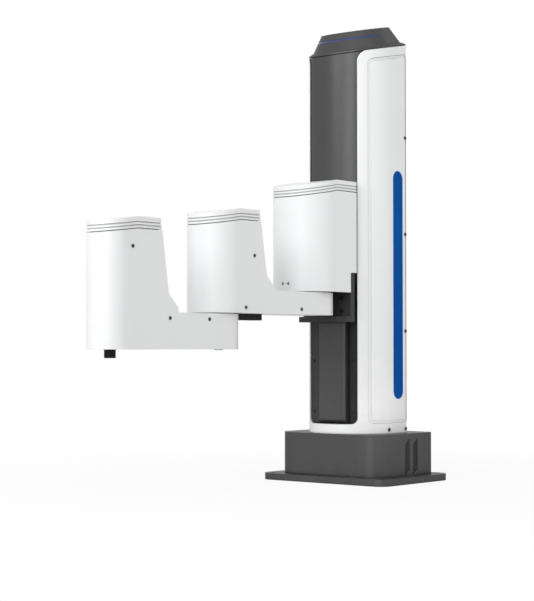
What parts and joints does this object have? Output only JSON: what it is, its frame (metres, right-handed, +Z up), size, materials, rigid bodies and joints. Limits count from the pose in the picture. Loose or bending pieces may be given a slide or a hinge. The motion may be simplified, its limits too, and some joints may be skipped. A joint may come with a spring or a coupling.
{
  "type": "scara robot",
  "caption": "Desktop selective-compliance arm: two flat links turn on a carriage that slides up and down a column, with a turning tool shaft at the end.",
  "frame": {"origin": "centre of the floor plate's underside", "axes": "+Z up, +X from the column towards the stretched arm, +Y to the arm's left"},
  "size_m": [0.6355, 0.23, 0.6849],
  "materials": {
    "dark_paint": "fine satin texture",
    "white_paint": "smooth satin white",
    "blue_inlay": "satin blue",
    "light_guide": "translucent light guide, unlit",
    "black_metal": "black anodised",
    "black_plastic": "moulded, fine grain",
    "bare_aluminium": "machined",
    "steel": "ground",
    "circuit_board": "solder mask"
  },
  "bodies": {
    "column": {"base_plate": "dark_paint", "base_housing": "dark_paint", "connector_panel": "black_plastic", "power_inlet": "black_plastic", "signal_sockets": "bare_aluminium", "power_supply": "bare_aluminium", "control_board": "circuit_board", "z_motor": "black_metal", "column_core": "bare_aluminium", "guide_rails": "steel", "lower_screw_bearing": "bare_aluminium", "upper_screw_bearing": "bare_aluminium", "drive_board": "circuit_board", "column_shell": "white_paint", "side_panel_left": "white_paint", "side_panel_right": "white_paint", "accent_stripe_left": "blue_inlay", "accent_stripe_right": "blue_inlay", "rear_panel": "dark_paint", "spine_cover": "dark_paint", "channel_strip_left": "dark_paint", "channel_strip_right": "dark_paint", "upper_front_cover": "dark_paint", "top_cap": "dark_paint", "light_strip": "light_guide", "column_screws": "steel"},
    "lead_screw": {"screw_coupling": "bare_aluminium", "ball_screw": "steel"},
    "carriage": {"carriage_saddle": "bare_aluminium", "guide_blocks": "steel", "ball_nut": "steel", "carriage_bracket": "black_metal", "shoulder_bearing": "steel", "shoulder_reducer": "bare_aluminium", "shoulder_motor": "black_metal", "carriage_cover": "white_paint", "carriage_lid": "white_paint", "carriage_screws": "steel"},
    "upper_arm": {"shoulder_hub": "steel", "upper_arm_body": "white_paint", "upper_arm_lid": "white_paint", "elbow_bearing": "steel", "elbow_reducer": "bare_aluminium", "elbow_motor": "black_metal", "elbow_stop": "black_metal", "upper_arm_screws": "steel"},
    "forearm": {"elbow_hub": "steel", "forearm_body": "white_paint", "forearm_lid": "white_paint", "tool_bearing": "steel", "tool_reducer": "bare_aluminium", "tool_motor": "black_metal", "forearm_plug": "black_plastic", "forearm_screws": "steel"},
    "tool": {"tool_shaft": "black_metal"}
  },
  "joints": [
    {"name": "z_slide", "type": "slide", "parent": "column", "child": "carriage", "axis": [0, 0, 1], "range_m": [-0.146, 0.094]},
    {"name": "screw_turn", "type": "hinge", "parent": "column", "child": "lead_screw", "pos_m": [0.004, 0, 0.27], "axis": [0, 0, 1], "range_deg": [-1800, 2700]},
    {"name": "shoulder_turn", "type": "hinge", "parent": "carriage", "child": "upper_arm", "pos_m": [0.118, 0, 0.28], "axis": [0, 0, 1], "range_deg": [-85, 85]},
    {"name": "elbow_turn", "type": "hinge", "parent": "upper_arm", "child": "forearm", "pos_m": [0.318, 0, 0.2453], "axis": [0, 0, -1], "range_deg": [-115, 115]},
    {"name": "tool_turn", "type": "hinge", "parent": "forearm", "child": "tool", "pos_m": [0.518, 0, 0.19], "axis": [0, 0, 1], "range_deg": [-360, 360]}
  ],
  "couplings": [
    {"joint": "screw_turn", "follows": "z_slide", "rad_per_m": -314.16}
  ]
}
